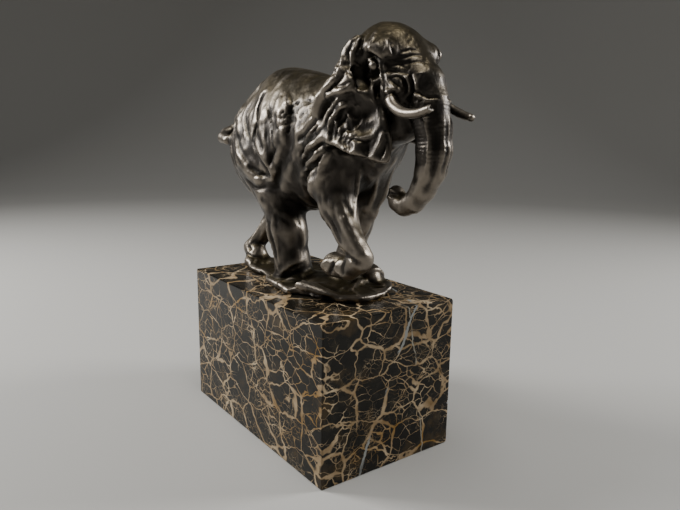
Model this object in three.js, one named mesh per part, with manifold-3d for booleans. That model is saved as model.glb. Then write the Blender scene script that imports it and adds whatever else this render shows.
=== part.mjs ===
// A bronze elephant striding over a strip of rough ground, on a polished marble block.
// Millimetres, +Z up, +X the way the elephant walks, +Y its left side.
// The origin is the centre of the plinth's underside. Heights inside the bronze are
// measured from the marble's top face, which the casting stands on.
import * as THREE from 'three';
import Module from 'manifold-3d';
import { mergeVertices } from 'three/addons/utils/BufferGeometryUtils.js';

const wasm = await Module();
wasm.setup();

// ---------- driving dimensions ----------
const PLINTH = { length: 170, width: 102, height: 100, arris: 0.9 };
const CELL = 2; // lattice step that the casting's surface is traced on
const SMOOTHING = 2; // rounds of evening out the traced surface
const CAST_TRIANGLES = 9200; // facets left on the casting after thinning
const RIGHT = -1; // the elephant's right side lies towards -Y
const LEFT = 1;

// The casting's lattice box: it only has to hold the elephant with room to spare.
const LATTICE = { min: [-112, -50, -3], max: [142, 54, 176] };

// ---------- small vector helpers ----------
const clamp = (value, low, high) => Math.min(high, Math.max(low, value));
const mix = (a, b, t) => a + (b - a) * t;
const smoothstep = (low, high, value) => {
  const t = clamp((value - low) / (high - low), 0, 1);
  return t * t * (3 - 2 * t);
};

// Joins two distances with a fillet of size k; a negative k would leave a crease.
function blend(a, b, k) {
  const h = Math.max(k - Math.abs(a - b), 0) / k;
  return Math.min(a, b) - (h * h * k) / 4;
}

// Takes one distance away from another with a fillet of size k.
const scoop = (a, b, k) => -blend(-a, b, k);

// ---------- the shapes that the body is built up from ----------

// A tapering limb between two joints [x, y, z, radius]; flat < 1 makes it narrower across Y.
function limb(from, to, flat = 1) {
  const [ax, ay, az, ar] = from;
  const [bx, by, bz, br] = to;
  const [dx, dy, dz] = [bx - ax, (by - ay) / flat, bz - az];
  const span = dx * dx + dy * dy + dz * dz;
  return (x, y, z) => {
    const [px, py, pz] = [x - ax, (y - ay) / flat, z - az];
    const t = clamp((px * dx + py * dy + pz * dz) / span, 0, 1);
    return (Math.hypot(px - dx * t, py - dy * t, pz - dz * t) - mix(ar, br, t)) * Math.min(1, flat);
  };
}

// A chain of limbs through a list of joints.
function chain(joints, flat = 1) {
  return joints.slice(1).map((joint, i) => limb(joints[i], joint, flat));
}

// A swelling with three half-widths, tipped nose-down by pitch and turned by yaw (degrees).
function swelling([cx, cy, cz], [a, b, c], pitch = 0, yaw = 0) {
  const turn = new THREE.Matrix4().makeRotationFromEuler(
    new THREE.Euler(0, THREE.MathUtils.degToRad(pitch), THREE.MathUtils.degToRad(yaw), 'ZYX'),
  );
  const m = turn.transpose().elements;
  return (x, y, z) => {
    const [px, py, pz] = [x - cx, y - cy, z - cz];
    const qx = (m[0] * px + m[4] * py + m[8] * pz) / a;
    const qy = (m[1] * px + m[5] * py + m[9] * pz) / b;
    const qz = (m[2] * px + m[6] * py + m[10] * pz) / c;
    const k0 = Math.hypot(qx, qy, qz);
    const k1 = Math.hypot(qx / a, qy / b, qz / c);
    return k1 > 0 ? (k0 * (k0 - 1)) / k1 : -Math.min(a, b, c);
  };
}

// The distance to a smooth curve through the given points.
function stroke(points) {
  const curve = new THREE.CatmullRomCurve3(points.map((p) => new THREE.Vector3(...p)));
  const bends = curve.getPoints(points.length * 5);
  const parts = bends.slice(1).map((p, i) => limb([...bends[i], 0], [...p, 0]));
  const box = new THREE.Box3().setFromPoints(bends);
  return (x, y, z, reach) => {
    if (x < box.min.x - reach || x > box.max.x + reach) return Infinity;
    if (y < box.min.y - reach || y > box.max.y + reach) return Infinity;
    if (z < box.min.z - reach || z > box.max.z + reach) return Infinity;
    return parts.reduce((near, part) => Math.min(near, part(x, y, z)), Infinity);
  };
}

// ---------- the elephant ----------
// Each entry is { shape, k }: a shape and the fillet that it joins the rest with.
const masses = [];
const add = (k, ...shapes) => shapes.forEach((shape) => masses.push({ shape, k }));

function addTorso() {
  add(6, swelling([-55, 0, 92.5], [33.5, 31, 41])); // hips
  add(8, swelling([-30, 0, 102], [44, 28, 45.5])); // arched back
  add(8, swelling([-6, 0, 97], [49, 34.5, 46.5])); // ribs and belly
  add(10, swelling([34, 0, 100], [37, 29, 38])); // withers and chest
  add(10, swelling([53, 0, 111], [31, 24.5, 30])); // neck
}

// The thick edge where an ear grows from the head: [x, distance from the middle plane, z, radius].
const EAR_ROOT = [[72, 20, 152, 4], [74, 21.5, 138, 5], [84, 19.5, 121, 5]];

function addHead() {
  add(8, swelling([73.5, 0, 137.5], [26, 22, 27.5])); // skull
  add(6, swelling([85, 0, 139], [15, 18.5, 19])); // forehead
  add(7, swelling([86, 0, 114], [15, 15, 16])); // jaw
  for (const side of [RIGHT, LEFT]) {
    add(6, swelling([86, side * 16, 147.5], [11, 6.8, 6.8], 12)); // brow ridge
    add(5, swelling([94, side * 12.5, 127], [9, 7.5, 10])); // cheek over the tusk
    add(4, ...chain(EAR_ROOT.map(([x, y, z, radius]) => [x, side * y, z, radius])));
  }
}

// The trunk hangs from the forehead, thins as it falls and curls back under itself.
const TRUNK = [
  [92, 0, 140, 13],
  [102, 0, 129, 12.2],
  [108, 0, 119, 10.8],
  [111.5, 0, 108, 9.8],
  [113, 0, 95, 9.2],
  [111, 0, 84, 8.2],
  [106.5, 0, 74.5, 7],
  [99.5, 0, 66.5, 6],
  [92, 0, 63.6, 5.6],
  [86, 0, 65.5, 5.3],
  [84, 0, 70, 5.3],
];

function addTrunk() {
  add(2.5, ...chain(TRUNK));
}

// Joints of each leg from the body down: [x, y, z, radius].
const LEGS = {
  rightFore: [
    [50, -16, 100, 18],
    [49, -18.5, 76, 15.2],
    [55, -19.5, 60, 11],
    [67.5, -19.5, 43, 7.6],
    [76.5, -18.5, 33.5, 7],
  ],
  leftFore: [
    [51, 13, 100, 17],
    [46, 12, 73, 11.5],
    [38, 9.5, 46, 8.8],
    [31, 7, 24, 8.4],
    [29, 6, 13, 9.8],
  ],
  rightHind: [
    [-40, -14, 84, 22],
    [-18, -15.5, 60, 15.5],
    [-10, -15, 38, 13],
    [-7, -13.5, 16, 12],
    [-7, -12, 8, 13.5],
  ],
  leftHind: [
    [-52, 14, 84, 22],
    [-52, 12, 56, 14],
    [-65, 4, 33, 7.5],
    [-80, -5, 12.5, 6.8],
    [-71, -6, 8, 8.4],
  ],
};

// The tail leaves the rump, swings out to the right and comes back to the buttock.
const TAIL = [
  [-80, -3, 110, 6],
  [-91, -9, 106, 4.8],
  [-96, -17, 102, 4.2],
  [-90, -24, 98.5, 3.9],
  [-76, -27, 97, 3.6],
];
// The lifted forefoot is folded back under its forearm, toes down.
const FOLDED_FOREFOOT = [
  [76, -18.5, 31, 7],
  [65, -18, 24.5, 6.6],
  [49, -17.5, 24, 8],
];

// Toenails: a row of small swellings round the front of each standing foot.
const NAILS = { count: 4, spread: 34, half: [3.2, 3, 3.4], height: 5.6 };

function addToes([x, y, , radius], heading) {
  for (let i = 0; i < NAILS.count; i += 1) {
    const turn = THREE.MathUtils.degToRad(heading + (i - (NAILS.count - 1) / 2) * NAILS.spread);
    const reach = radius - 0.6;
    const place = [x + reach * Math.cos(turn), y + reach * Math.sin(turn), NAILS.height];
    add(1.2, swelling(place, NAILS.half));
  }
}

function addLegs() {
  for (const joints of Object.values(LEGS)) {
    add(6, limb(joints[0], joints[1]));
    add(3, ...chain(joints.slice(1)));
  }
  addToes(LEGS.rightHind.at(-1), -25);
  addToes(LEGS.leftFore.at(-1), -10);
  addToes(LEGS.leftHind.at(-1), -5);
  add(3, ...chain(TAIL));
  add(3, ...chain(FOLDED_FOREFOOT));
}

// ---------- ears ----------
// The right ear's rim, seen from the side: [x, z]. The left ear mirrors it.
const EAR_RIM = [
  [73, 155], [66, 148], [65, 139], [59, 130], [51, 122], [48, 113], [53, 105], [64, 98],
  [78, 93], [89, 89], [98, 88], [99, 97], [97, 107], [94, 115], [84, 128], [77, 143],
];
const EAR_THICKNESS = 4.4;
const EAR_EDGE = 1.6; // the rim's rounding

// How far out from the middle plane the ear lies: close at its root and front, flaring behind,
// with a hollow in its middle.
const EAR_SPREAD = { root: 19, flare: 12 };
const EAR_HOLLOW = { x: 80, z: 114, halfX: 13, halfZ: 11, depth: 4 };

function earSpread(x, z) {
  const behind = smoothstep(100, 70, x) * smoothstep(165, 130, z);
  const [u, v] = [(x - EAR_HOLLOW.x) / EAR_HOLLOW.halfX, (z - EAR_HOLLOW.z) / EAR_HOLLOW.halfZ];
  return EAR_SPREAD.root + EAR_SPREAD.flare * behind - EAR_HOLLOW.depth * Math.exp(-u * u - v * v);
}

// The signed distance to a closed smooth outline in a plane.
function outlineDistance(points, pieces) {
  const curve = new THREE.CatmullRomCurve3(points.map(([u, v]) => new THREE.Vector3(u, v, 0)), true);
  const rim = curve.getPoints(pieces).slice(0, pieces);
  const memory = new Map();
  const measure = (u, v) => {
    let near = Infinity;
    let odd = false;
    rim.forEach((p, i) => {
      const q = rim[(i + 1) % pieces];
      const [eu, ev, wu, wv] = [q.x - p.x, q.y - p.y, u - p.x, v - p.y];
      const t = clamp((wu * eu + wv * ev) / (eu * eu + ev * ev), 0, 1);
      near = Math.min(near, Math.hypot(wu - eu * t, wv - ev * t));
      if (p.y > v !== q.y > v && u < p.x + ((v - p.y) * eu) / ev) odd = !odd;
    });
    return odd ? -near : near;
  };
  return (u, v) => {
    const key = `${u},${v}`;
    if (!memory.has(key)) memory.set(key, measure(u, v));
    return memory.get(key);
  };
}

const earOutline = outlineDistance(EAR_RIM, 80);

// The ears are only measured near themselves; further off they count as FAR away.
const EAR_ZONE = { x: [40, 108], y: 5, z: [78, 165] };
const FAR = 20;

function addEars() {
  for (const side of [RIGHT, LEFT]) {
    add(2.5, (x, y, z) => {
      if (side * y < EAR_ZONE.y || x < EAR_ZONE.x[0] || x > EAR_ZONE.x[1]) return FAR;
      if (z < EAR_ZONE.z[0] || z > EAR_ZONE.z[1]) return FAR;
      const across = Math.abs(side * y - earSpread(x, z)) - EAR_THICKNESS / 2 + EAR_EDGE;
      const along = earOutline(x, z) + EAR_EDGE;
      const outside = Math.hypot(Math.max(across, 0), Math.max(along, 0));
      return outside + Math.min(Math.max(across, along), 0) - EAR_EDGE;
    });
  }
}

// ---------- the ground it walks on ----------
const GROUND_OUTLINE = [
  [-76, -4], [-66, -18], [-33, -22], [-8, -30], [22, -34], [44, -25],
  [61, -7], [57, 20], [34, 38], [-8, 34], [-50, 28], [-74, 14],
];
// Lumps of the ground: centre, half-widths and how far the nose dips, in degrees.
const ROCKS = [
  [[31, 1, 3.6], [31, 20, 5], 6], // the slab under the forefeet
  [[29, 25, 6], [12, 10, 11], 0],
  [[-69, -9, 3], [11, 8, 6], 0],
  [[-50, 2, 3], [15, 14, 5], 0],
  [[-8, -16, 1], [22, 14, 4.6], 0],
];
// The near rim of the slab lifts off the marble, highest at its left end, over a hollow.
const LIP = { corner: [30, -27.6], height: 10.2, fallX: 0.155, fallY: 0.2, starts: 23 };
const HOLLOW = { from: [24, -31, 3.2, 4.5], to: [54, -19.5, 0.2, 2.4] };
const GROUND_THICKNESS = 4.1;
const GROUND_TOP = 24; // above this there is no ground

function groundShape() {
  const inside = outlineDistance(GROUND_OUTLINE, 96);
  const rocks = ROCKS.map((rock) => swelling(...rock));
  const hollow = limb(HOLLOW.from, HOLLOW.to);
  return (x, y, z) => {
    if (z > GROUND_TOP) return z - 20;
    const flare = -1.2 + 0.4 * Math.min(z, 5); // the side wall leans out towards its rim
    const waves = 0.6 * Math.sin(x / 9 + y / 13) + 0.5 * Math.sin(y / 7 - x / 17);
    const [lipX, lipY] = LIP.corner;
    const lifted = LIP.height - LIP.fallX * (x - lipX) - LIP.fallY * (y - lipY) - GROUND_THICKNESS;
    const lip = Math.max(lifted, 0) * smoothstep(LIP.starts, lipX, x);
    const top = GROUND_THICKNESS + waves + lip;
    const slab = Math.max(inside(x, y) - flare, z - top);
    const lumpy = rocks.reduce((d, rock) => blend(d, rock(x, y, z), 2), slab);
    return scoop(lumpy, hollow(x, y, z), 1);
  };
}

// ---------- folds of the skin ----------
// Each fold follows a line on the right side: its half-width, and its depth (below 0, a ridge).
const FOLDS = [
  // across the buttock and down the hip and thigh
  {
    line: [[-24, -27, 126], [-26, -31, 114], [-24, -34, 100], [-15, -34, 86], [-6, -32, 78]],
    width: 2.4,
    depth: 1.9,
  },
  { line: [[-4, -28, 126], [-5, -33, 112], [-2, -35, 95], [2, -32, 81]], width: 2.4, depth: 1.3 },
  { line: [[13, -29, 116], [19, -31, 102], [12, -31, 86], [-5, -26, 69]], width: 3.2, depth: 1.5 },
  { line: [[-29, -34, 79], [-18, -31, 76], [-5, -32, 77]], width: 2, depth: 1.4 },
  // behind the elbow
  { line: [[56, -33, 112], [42, -31, 106], [29, -29, 100]], width: 1.9, depth: 2.1 },
  { line: [[57, -34, 106], [43, -32, 99], [29, -29, 92]], width: 1.9, depth: 2.1 },
  { line: [[57, -33, 98], [46, -32, 92], [29, -27, 84]], width: 1.9, depth: 2.1 },
  { line: [[54, -33, 89], [41, -29, 83], [25, -23, 74]], width: 1.9, depth: 1.8 },
  // the ear's drapery
  {
    line: [[76, -28, 144], [71, -33, 132], [61, -34, 123], [57, -34, 113], [61, -34, 103]],
    width: 2,
    depth: 1.2,
  },
  { line: [[80, -26, 136], [74, -31, 125], [67, -33, 116], [70, -33, 104]], width: 2.2, depth: -1.4 },
  { line: [[89, -23, 108], [84, -28, 103], [79, -31, 96]], width: 1.8, depth: 1.3 },
  { line: [[97, -21, 106], [96, -22, 98], [93, -24, 91]], width: 1.8, depth: 1.3 },
  // the forearm's ridge, the trunk's edge and the crease under the brow
  { line: [[62, -26, 68], [68, -26, 56], [75, -25, 45], [82, -22, 37]], width: 3, depth: -1 },
  { line: [[115, -10, 110], [117, -9, 98], [115, -8, 86], [110, -7, 75]], width: 2, depth: -0.9 },
  { line: [[76, -21, 146], [86, -23, 146], [94, -19, 141]], width: 2, depth: 1 },
];
const FAR_SIDE = 0.7; // the left side's folds are this much of the right side's
// The eye: the hollow it lies in, with its half-widths, and the ball.
const EYE = { socket: [82.5, 25, 136], half: [7, 4.6, 9], ball: [86.5, 20.4, 139], radius: 2.8 };

function addFolds() {
  const folds = [];
  for (const { line, width, depth } of FOLDS) {
    folds.push({ near: stroke(line), width, depth });
    const mirrored = line.map(([x, y, z]) => [x, -y, z]);
    folds.push({ near: stroke(mirrored), width, depth: depth * FAR_SIDE });
  }
  return folds;
}

// How much the folds move the skin at a point: a groove with a soft shoulder on each side.
const FOLD_REACH = 4; // half-widths away from its line, where a fold has died out
const SHOULDER = { away: 2, height: 0.35 };

function foldedSkin(folds, x, y, z) {
  let shift = 0;
  for (const { near, width, depth } of folds) {
    const away = near(x, y, z, FOLD_REACH * width) / width;
    if (away < FOLD_REACH) {
      const shoulder = SHOULDER.height * Math.exp(-((away - SHOULDER.away) ** 2));
      shift += depth * (Math.exp(-away * away) - shoulder);
    }
  }
  return shift;
}

// ---------- the whole casting as one distance field ----------
addTorso();
addHead();
addTrunk();
addLegs();
addEars();
const folds = addFolds();
const ground = groundShape();
const sockets = [RIGHT, LEFT].map((side) => {
  const [x, y, z] = EYE.socket;
  return swelling([x, side * y, z], EYE.half);
});
const eyes = [RIGHT, LEFT].map((side) => {
  const [x, y, z] = EYE.ball;
  return swelling([x, side * y, z], [EYE.radius, EYE.radius, EYE.radius]);
});

function casting(x, y, z) {
  let d = 40;
  for (const { shape, k } of masses) d = blend(d, shape(x, y, z), k);
  for (const socket of sockets) d = scoop(d, socket(x, y, z), 3);
  for (const eye of eyes) d = blend(d, eye(x, y, z), 1);
  if (Math.abs(d) < 8) d += foldedSkin(folds, x, y, z);
  return Math.max(blend(d, ground(x, y, z), 3), -z);
}

// ---------- tusks ----------
// Centre line of a tusk from inside its socket to its tip: [x, distance from the middle plane, z].
const TUSKS = [
  {
    side: RIGHT,
    line: [
      [92, 14, 131], [96.5, 17.5, 125], [102, 19.6, 118.3],
      [111, 20.6, 114.3], [121, 20.4, 114], [129.5, 19.5, 116.2],
    ],
  },
  {
    side: LEFT,
    line: [
      [92, 13, 131], [97, 16, 125], [103, 17.8, 119.6],
      [111, 17.6, 116], [118.5, 16, 113.8], [125.5, 14, 112.4],
    ],
  },
];
const TUSK_RADIUS = { root: 3.3, tip: 1.6 };

// A closed rod along a smooth line, with its own radius at each step and a rounded end.
function taperedRod(points, radius, steps = 12, sides = 8) {
  const curve = new THREE.CatmullRomCurve3(points.map((p) => new THREE.Vector3(...p)));
  const { normals, binormals } = curve.computeFrenetFrames(steps);
  const positions = [curve.getPointAt(0)];
  for (let i = 0; i <= steps; i += 1) {
    const t = i / steps;
    const centre = curve.getPointAt(t);
    const reach = mix(radius.root, radius.tip, t) * (i === steps ? 0.6 : 1);
    for (let j = 0; j < sides; j += 1) {
      const turn = (2 * Math.PI * j) / sides;
      positions.push(centre.clone()
        .addScaledVector(normals[i], reach * Math.cos(turn))
        .addScaledVector(binormals[i], reach * Math.sin(turn)));
    }
  }
  positions.push(curve.getPointAt(1).addScaledVector(curve.getTangentAt(1), radius.tip * 0.5));
  const faces = [];
  const ring = (i, j) => 1 + i * sides + (j % sides);
  for (let j = 0; j < sides; j += 1) {
    faces.push([0, ring(0, j + 1), ring(0, j)]);
    faces.push([positions.length - 1, ring(steps, j), ring(steps, j + 1)]);
    for (let i = 0; i < steps; i += 1) {
      faces.push([ring(i, j), ring(i, j + 1), ring(i + 1, j)]);
      faces.push([ring(i, j + 1), ring(i + 1, j + 1), ring(i + 1, j)]);
    }
  }
  return { positions: positions.map((p) => p.toArray()), faces };
}

// ---------- tracing the field into a closed mesh ----------
// Each lattice cube is cut into six tetrahedra along its long diagonal, which leaves no
// doubtful case: every edge of the traced surface lies in exactly two triangles.
// The order of steps along X (1), Y (2) and Z (4) from one end of the diagonal to the other,
// and whether that order turns the tetrahedron right way round.
const AXIS_ORDERS = [
  { first: 1, second: 2, even: true },
  { first: 2, second: 4, even: true },
  { first: 4, second: 1, even: true },
  { first: 2, second: 1, even: false },
  { first: 1, second: 4, even: false },
  { first: 4, second: 2, even: false },
];
// Corners in cutting order, for each set of corners (one bit each) that lies inside.
const PAIRS = {
  3: [0, 1, 2, 3], 5: [0, 2, 3, 1], 9: [0, 3, 1, 2],
  6: [1, 2, 0, 3], 10: [1, 3, 2, 0], 12: [2, 3, 0, 1],
};
const SINGLES = { 1: [0, 1, 2, 3], 2: [1, 0, 3, 2], 4: [2, 3, 0, 1], 8: [3, 2, 1, 0] };

function trace(field, { min, max }, step) {
  const count = min.map((low, i) => Math.round((max[i] - low) / step) + 1);
  const [nx, ny] = count;
  const total = nx * ny * count[2];
  const place = (id) => {
    const i = id % nx;
    const j = Math.floor(id / nx) % ny;
    const k = Math.floor(id / (nx * ny));
    return [min[0] + i * step, min[1] + j * step, min[2] + k * step];
  };
  const values = new Float64Array(total);
  for (let id = 0; id < total; id += 1) values[id] = field(...place(id)) || 1e-9;

  const positions = [];
  const faces = [];
  const crossings = new Map();
  const offset = (corner) => (corner & 1) + ((corner >> 1) & 1) * nx + (corner >> 2) * nx * ny;
  const crossing = (low, high) => {
    const key = Math.min(low, high) * total + Math.max(low, high);
    if (!crossings.has(key)) {
      const t = clamp(values[low] / (values[low] - values[high]), 0.08, 0.92);
      const [a, b] = [place(low), place(high)];
      crossings.set(key, positions.length);
      positions.push(a.map((value, i) => mix(value, b[i], t)));
    }
    return crossings.get(key);
  };

  for (let k = 0; k < count[2] - 1; k += 1) {
    for (let j = 0; j < ny - 1; j += 1) {
      for (let i = 0; i < nx - 1; i += 1) {
        const base = i + j * nx + k * nx * ny;
        for (const { first, second, even } of AXIS_ORDERS) {
          const corners = [0, first, first + second, 7].map((corner) => base + offset(corner));
          if (!even) [corners[1], corners[2]] = [corners[2], corners[1]];
          traceTetrahedron(corners, values, crossing, faces);
        }
      }
    }
  }
  return { positions, faces };
}

function traceTetrahedron(corners, values, crossing, faces) {
  const mask = corners.reduce((bits, id, i) => bits | (values[id] < 0 ? 1 << i : 0), 0);
  if (mask === 0 || mask === 15) return;
  const few = SINGLES[mask] ?? SINGLES[15 - mask];
  if (few) {
    const [a, b, c, d] = few.map((i) => corners[i]);
    const tip = [crossing(a, b), crossing(a, c), crossing(a, d)];
    faces.push(SINGLES[mask] ? tip : tip.reverse());
    return;
  }
  const [a, b, c, d] = PAIRS[mask].map((i) => corners[i]);
  const [ac, ad, bd, bc] = [crossing(a, c), crossing(a, d), crossing(b, d), crossing(b, c)];
  faces.push([ac, ad, bd], [ac, bd, bc]);
}

// Keeps the largest connected surface, so that no crumb or closed air pocket is left.
function outerSkin({ positions, faces }) {
  const leader = positions.map((_, v) => v);
  const find = (v) => {
    let root = v;
    while (leader[root] !== root) root = leader[root];
    leader[v] = root;
    return root;
  };
  for (const [a, b, c] of faces) {
    leader[find(b)] = find(a);
    leader[find(c)] = find(a);
  }
  const sizes = new Map();
  for (const [a] of faces) sizes.set(find(a), (sizes.get(find(a)) ?? 0) + 1);
  const main = [...sizes].reduce((best, entry) => (entry[1] > best[1] ? entry : best))[0];
  return { positions, faces: faces.filter(([a]) => find(a) === main) };
}

// Evens out the lattice's marks: each round shrinks the surface a little and swells it back.
const SHRINK = 0.5;
const SWELL = -0.53;

function relax({ positions, faces }, rounds) {
  const linked = positions.map(() => new Set());
  for (const f of faces) f.forEach((v, i) => linked[v].add(f[(i + 1) % 3]));
  let points = positions;
  for (let round = 0; round < 2 * rounds; round += 1) {
    const pull = round % 2 ? SWELL : SHRINK;
    points = points.map((p, v) => {
      if (Math.abs(p[2]) < 1e-6 || !linked[v].size) return p; // the underside stays flat
      const ring = [...linked[v]];
      return p.map((value, i) => {
        const mean = ring.reduce((sum, w) => sum + points[w][i], 0) / ring.length;
        return mix(value, mean, pull);
      });
    });
  }
  return { positions: points, faces };
}

// ---------- thinning the traced mesh ----------
// Edges are folded away cheapest first. The cost is the squared distance to the planes that
// the corner has stood for, so flat stretches lose facets and folds keep them.
function planeQuadric([nx, ny, nz], distance, weight) {
  const v = [nx, ny, nz, distance];
  const q = [];
  for (let i = 0; i < 4; i += 1) for (let j = i; j < 4; j += 1) q.push(v[i] * v[j] * weight);
  return q;
}

const quadricCost = (q, [x, y, z]) => (
  q[0] * x * x + 2 * q[1] * x * y + 2 * q[2] * x * z + 2 * q[3] * x
  + q[4] * y * y + 2 * q[5] * y * z + 2 * q[6] * y + q[7] * z * z + 2 * q[8] * z + q[9]);

// The point of least cost, held near the edge's middle where the cost is flat.
function bestPoint(q, middle) {
  const hold = 1e-3 * (q[0] + q[4] + q[7]) + 1e-9;
  const m = new THREE.Matrix3().set(
    q[0] + hold, q[1], q[2], q[1], q[4] + hold, q[5], q[2], q[5], q[7] + hold);
  const right = new THREE.Vector3(
    hold * middle[0] - q[3], hold * middle[1] - q[6], hold * middle[2] - q[8]);
  return right.applyMatrix3(m.invert()).toArray();
}

const minus = (a, b) => [a[0] - b[0], a[1] - b[1], a[2] - b[2]];
const dot = (a, b) => a[0] * b[0] + a[1] * b[1] + a[2] * b[2];
const cross = (a, b) => [a[1] * b[2] - a[2] * b[1], a[2] * b[0] - a[0] * b[2], a[0] * b[1] - a[1] * b[0]];

// A small priority queue: the lowest cost comes out first.
class Heap {
  constructor() {
    this.items = [];
  }

  push(item) {
    const { items } = this;
    let at = items.push(item) - 1;
    while (at > 0 && items[(at - 1) >> 1].cost > items[at].cost) {
      const up = (at - 1) >> 1;
      [items[at], items[up]] = [items[up], items[at]];
      at = up;
    }
  }

  pop() {
    const { items } = this;
    const top = items[0];
    const last = items.pop();
    if (items.length === 0) return top;
    items[0] = last;
    let at = 0;
    for (;;) {
      let low = at;
      for (const child of [2 * at + 1, 2 * at + 2]) {
        if (child < items.length && items[child].cost < items[low].cost) low = child;
      }
      if (low === at) return top;
      [items[at], items[low]] = [items[low], items[at]];
      at = low;
    }
  }
}

// How far a facet is from a sliver: its doubled area over its longest side squared.
function plumpness([a, b, c]) {
  const longest = Math.max(...[[a, b], [b, c], [c, a]].map(([p, q]) => Math.hypot(...minus(p, q))));
  return Math.hypot(...cross(minus(b, a), minus(c, a))) / (longest * longest + 1e-12);
}

const MOST_TURN = 0.3; // cosine of the angle that a facet may turn in one fold
const LEAST_PLUMPNESS = 0.2;

function thin({ positions, faces }, target) {
  const points = positions.map((p) => [...p]);
  const triangles = faces.map((f) => [...f]);
  const around = points.map(() => new Set());
  const quadrics = points.map(() => new Array(10).fill(0));
  triangles.forEach((f, id) => {
    const n = cross(minus(points[f[1]], points[f[0]]), minus(points[f[2]], points[f[0]]));
    const size = Math.hypot(...n) || 1e-12;
    const unit = n.map((value) => value / size);
    const q = planeQuadric(unit, -dot(unit, points[f[0]]), size);
    for (const v of f) {
      around[v].add(id);
      q.forEach((value, i) => { quadrics[v][i] += value; });
    }
  });

  const stamp = new Int32Array(points.length);
  const heap = new Heap();
  const offer = (a, b) => {
    const q = quadrics[a].map((value, i) => value + quadrics[b][i]);
    const middle = points[a].map((value, i) => (value + points[b][i]) / 2);
    const point = bestPoint(q, middle);
    const length = Math.hypot(...minus(points[a], points[b]));
    const cost = Math.max(quadricCost(q, point), 0) + 1e-3 * length * length;
    heap.push({ cost, a, b, q, point, age: stamp[a] + stamp[b] });
  };
  const neighbours = (v) => {
    const ring = new Set();
    for (const id of around[v]) for (const w of triangles[id]) if (w !== v) ring.add(w);
    return ring;
  };
  triangles.forEach((f) => f.forEach((a, i) => {
    const b = f[(i + 1) % 3];
    if (a < b) offer(a, b);
  }));

  // A fold is refused where it would pinch the surface, turn a facet over or leave a sliver.
  const allowed = ({ a, b, point }) => {
    const ringB = neighbours(b);
    if ([...neighbours(a)].filter((v) => ringB.has(v)).length !== 2) return false;
    for (const [keep, other] of [[a, b], [b, a]]) {
      for (const id of around[keep]) {
        const f = triangles[id];
        if (f.includes(other)) continue;
        const old = f.map((v) => points[v]);
        const now = f.map((v) => (v === keep ? point : points[v]));
        const nOld = cross(minus(old[1], old[0]), minus(old[2], old[0]));
        const nNow = cross(minus(now[1], now[0]), minus(now[2], now[0]));
        if (dot(nOld, nNow) < MOST_TURN * Math.hypot(...nOld) * Math.hypot(...nNow)) return false;
        const shape = plumpness(now);
        if (shape < LEAST_PLUMPNESS && shape < plumpness(old)) return false;
      }
    }
    return true;
  };

  const dead = new Uint8Array(triangles.length);
  let left = triangles.length;
  while (left > target && heap.items.length) {
    const edge = heap.pop();
    const { a, b } = edge;
    if (edge.age !== stamp[a] + stamp[b] || !around[a].size || !around[b].size) continue;
    if (!allowed(edge)) continue;
    for (const id of around[b]) {
      const f = triangles[id];
      if (f.includes(a)) {
        dead[id] = 1;
        left -= 1;
        f.forEach((v) => v !== b && around[v].delete(id));
      } else {
        f[f.indexOf(b)] = a;
        around[a].add(id);
      }
    }
    around[b].clear();
    points[a] = edge.point;
    quadrics[a] = edge.q;
    stamp[b] += 1;
    const ring = neighbours(a);
    stamp[a] += 1;
    for (const v of ring) offer(Math.min(a, v), Math.max(a, v));
  }
  const live = triangles.filter((f, id) => !dead[id]);
  const used = [...new Set(live.flat())];
  const renumber = new Map(used.map((v, i) => [v, i]));
  return {
    positions: used.map((v) => points[v]),
    faces: live.map((f) => f.map((v) => renumber.get(v))),
  };
}

// Corners within this height of the marble, or under it, are set down flat on it.
const SETTLE = 0.02;

function toGeometry({ positions, faces }) {
  const geometry = new THREE.BufferGeometry();
  const settled = positions.flatMap(([x, y, z]) => [x, y, z < SETTLE ? 0 : z]);
  geometry.setAttribute('position', new THREE.Float32BufferAttribute(settled, 3));
  geometry.setIndex(faces.flat());
  return geometry;
}

// ---------- the marble block ----------
function plinthGeometry({ length, width, height, arris }) {
  const outline = new THREE.Shape();
  const [a, b] = [length / 2 - arris, width / 2 - arris];
  outline.moveTo(-a, -b).lineTo(a, -b).lineTo(a, b).lineTo(-a, b).closePath();
  const geometry = new THREE.ExtrudeGeometry(outline, {
    depth: height - 2 * arris,
    bevelEnabled: true,
    bevelThickness: arris,
    bevelSize: arris,
    bevelSegments: 2,
    curveSegments: 1,
  });
  geometry.translate(0, 0, arris);
  return geometry;
}

// ---------- the object ----------
const bronze = new THREE.MeshStandardMaterial({ color: 0x3a332c, roughness: 0.38, metalness: 1 });
const marble = new THREE.MeshStandardMaterial({ color: 0x2c2019, roughness: 0.18, metalness: 0 });

function weld(geometry) {
  geometry.deleteAttribute('normal');
  geometry.deleteAttribute('uv');
  return mergeVertices(geometry, 1e-4);
}

function named(name, geometry, material, z) {
  const mesh = new THREE.Mesh(geometry, material);
  mesh.name = name;
  mesh.position.z = z;
  return mesh;
}

function toSolid(geometry) {
  const mesh = new wasm.Mesh({
    numProp: 3,
    vertProperties: geometry.attributes.position.array,
    triVerts: new Uint32Array(geometry.index.array),
  });
  return new wasm.Manifold(mesh);
}

function fromSolid(solid) {
  const { vertProperties, triVerts } = solid.getMesh();
  const geometry = new THREE.BufferGeometry();
  geometry.setAttribute('position', new THREE.Float32BufferAttribute(vertProperties, 3));
  geometry.setIndex([...triVerts]);
  return geometry;
}

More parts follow.
